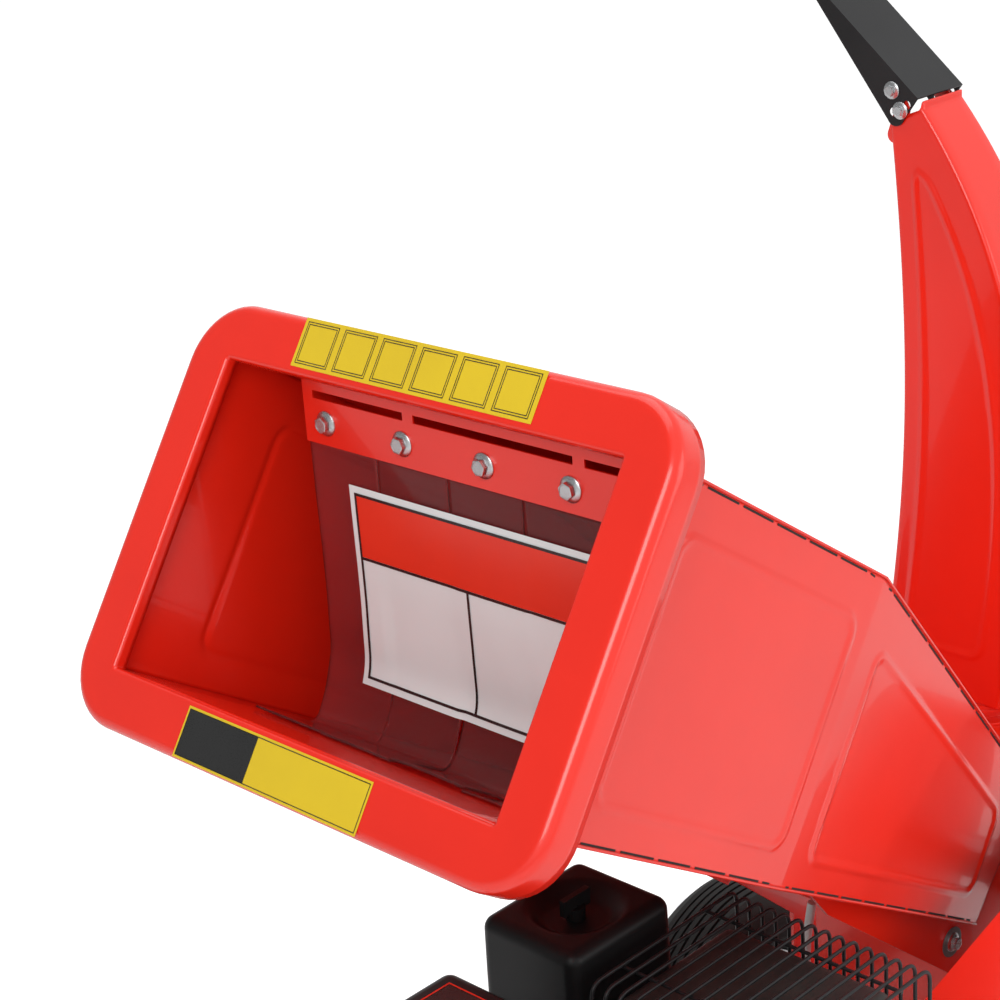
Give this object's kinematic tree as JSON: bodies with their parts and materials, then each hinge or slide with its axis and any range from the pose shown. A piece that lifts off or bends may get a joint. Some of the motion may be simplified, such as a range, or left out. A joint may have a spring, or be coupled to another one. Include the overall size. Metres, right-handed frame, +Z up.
{
  "type": "wood chipper",
  "caption": "Petrol drum wood chipper on two wheels, with a wide flared feed hopper and curtain, belt drive, turning discharge chute with tilting deflector, support leg and tow bar.",
  "frame": {"origin": "on the ground under the middle of the whole machine's box, which lies 187 mm behind the centre of the hopper mouth", "axes": "+Z up, the hopper mouth faces -X, the belt side is -Y"},
  "size_m": [1.5456, 0.696, 1.4391],
  "materials": {
    "red_paint": "gloss powder coat",
    "black_paint": "satin powder coat",
    "zinc": "bright zinc plate",
    "knife_steel": "ground tool steel",
    "cast": "painted casting",
    "alloy": "as-cast alloy",
    "silver_paint": "silver enamel",
    "tyre": "matt rubber",
    "rubber": "matt rubber",
    "curtain_pvc": "clear tinted PVC sheet",
    "black_plastic": "fine grained",
    "red_plastic": "gloss",
    "hose": "smooth"
  },
  "bodies": {
    "frame": {"hopper_rim": "red_paint", "hopper_left_panel": "red_paint", "hopper_right_panel": "red_paint", "hopper_top_panel": "red_paint", "hopper_floor_panel": "red_paint", "hopper_gussets": "red_paint", "gusset_bolts": "zinc", "curtain_strap": "red_paint", "curtain_bolts": "zinc", "housing_left_plate": "red_paint", "housing_right_plate": "red_paint", "housing_shell": "red_paint", "stand_wall": "red_paint", "anvil": "knife_steel", "drum_bearings": "cast", "drive_belts": "rubber", "belt_guard": "red_paint", "guard_posts": "black_paint", "small_bolts": "zinc", "chute_collar": "red_paint", "chassis_frame": "black_paint", "engine_plate": "black_paint", "axle": "zinc", "support_leg": "black_paint", "engine_block": "black_paint", "cylinder_fins": "alloy", "valve_cover": "black_paint", "blower_housing": "black_paint", "recoil_cover": "black_plastic", "fuel_tank": "black_plastic", "air_filter_base": "black_plastic", "air_filter_cover": "black_plastic", "carburettor": "alloy", "muffler": "black_paint", "muffler_guard": "black_paint", "vent_hose": "hose"},
    "drum": {"drum_shaft": "zinc", "drum": "cast", "drum_blades": "knife_steel", "drum_pulley": "alloy"},
    "crank": {"crankshaft": "zinc", "engine_pulley": "alloy"},
    "left_wheel": {"wheel_left": "silver_paint", "tyre_left": "tyre"},
    "right_wheel": {"wheel_right": "silver_paint", "tyre_right": "tyre"},
    "chute": {"chute_base": "red_paint", "chute_left_plate": "red_paint", "chute_right_plate": "red_paint", "chute_curved_plates": "red_paint", "deflector_bolts": "zinc"},
    "deflector": {"deflector": "black_paint"},
    "curtain": {"safety_curtain": "curtain_pvc"},
    "tow_bar": {"tow_bar": "black_paint", "tow_grip": "rubber"},
    "recoil_handle": {"recoil_handle": "black_plastic"},
    "fuel_cap": {"fuel_cap": "black_plastic"},
    "filter_knob": {"filter_knob": "black_plastic"},
    "throttle": {"throttle_lever": "zinc"},
    "switch": {"engine_switch": "red_plastic"}
  },
  "joints": [
    {"name": "drum_spin", "type": "hinge", "parent": "frame", "child": "drum", "pos_m": [0.59174, 0, 0.515], "axis": [0, 1, 0], "continuous": true},
    {"name": "crank_spin", "type": "hinge", "parent": "frame", "child": "crank", "pos_m": [-0.16717, 0, 0.394], "axis": [0, 1, 0], "continuous": true},
    {"name": "left_wheel_spin", "type": "hinge", "parent": "frame", "child": "left_wheel", "pos_m": [0.60784, 0.285, 0.165], "axis": [0, 1, 0], "continuous": true},
    {"name": "right_wheel_spin", "type": "hinge", "parent": "frame", "child": "right_wheel", "pos_m": [0.60784, -0.285, 0.165], "axis": [0, 1, 0], "continuous": true},
    {"name": "chute_turn", "type": "hinge", "parent": "frame", "child": "chute", "pos_m": [0.68174, 0, 0.664], "axis": [0, 0, 1], "range_deg": [-180, 180]},
    {"name": "deflector_tilt", "type": "hinge", "parent": "chute", "child": "deflector", "pos_m": [0.68174, 0.07, 1.3073], "axis": [1, 0, 0], "range_deg": [-25, 25]},
    {"name": "curtain_swing", "type": "hinge", "parent": "frame", "child": "curtain", "pos_m": [-0.0742, 0, 1.13137], "axis": [0, -1, 0], "range_deg": [0, 48]},
    {"name": "tow_bar_lift", "type": "hinge", "parent": "frame", "child": "tow_bar", "pos_m": [-0.36217, 0, 0.235], "axis": [0, 1, 0], "range_deg": [-26, 62]},
    {"name": "recoil_pull", "type": "slide", "parent": "frame", "child": "recoil_handle", "axis": [-1, 0, 0], "range_m": [0, 0.12], "stiffness_N_per_m": 60},
    {"name": "fuel_cap_turn", "type": "hinge", "parent": "frame", "child": "fuel_cap", "pos_m": [-0.19967, -0.131, 0.69], "axis": [0, 0, 1], "range_deg": [0, 90]},
    {"name": "filter_knob_turn", "type": "hinge", "parent": "frame", "child": "filter_knob", "pos_m": [0.02033, -0.0205, 0.69], "axis": [0, 0, 1], "continuous": true},
    {"name": "throttle_move", "type": "hinge", "parent": "frame", "child": "throttle", "pos_m": [-0.07416, 0.0453, 0.48], "axis": [0, 1, 0], "range_deg": [-25, 25]},
    {"name": "switch_turn", "type": "hinge", "parent": "frame", "child": "switch", "pos_m": [-0.27947, -0.13, 0.364], "axis": [1, 0, 0], "range_deg": [0, 45]}
  ],
  "couplings": [
    {"joint": "crank_spin", "follows": "drum_spin", "ratio": 2.81}
  ]
}
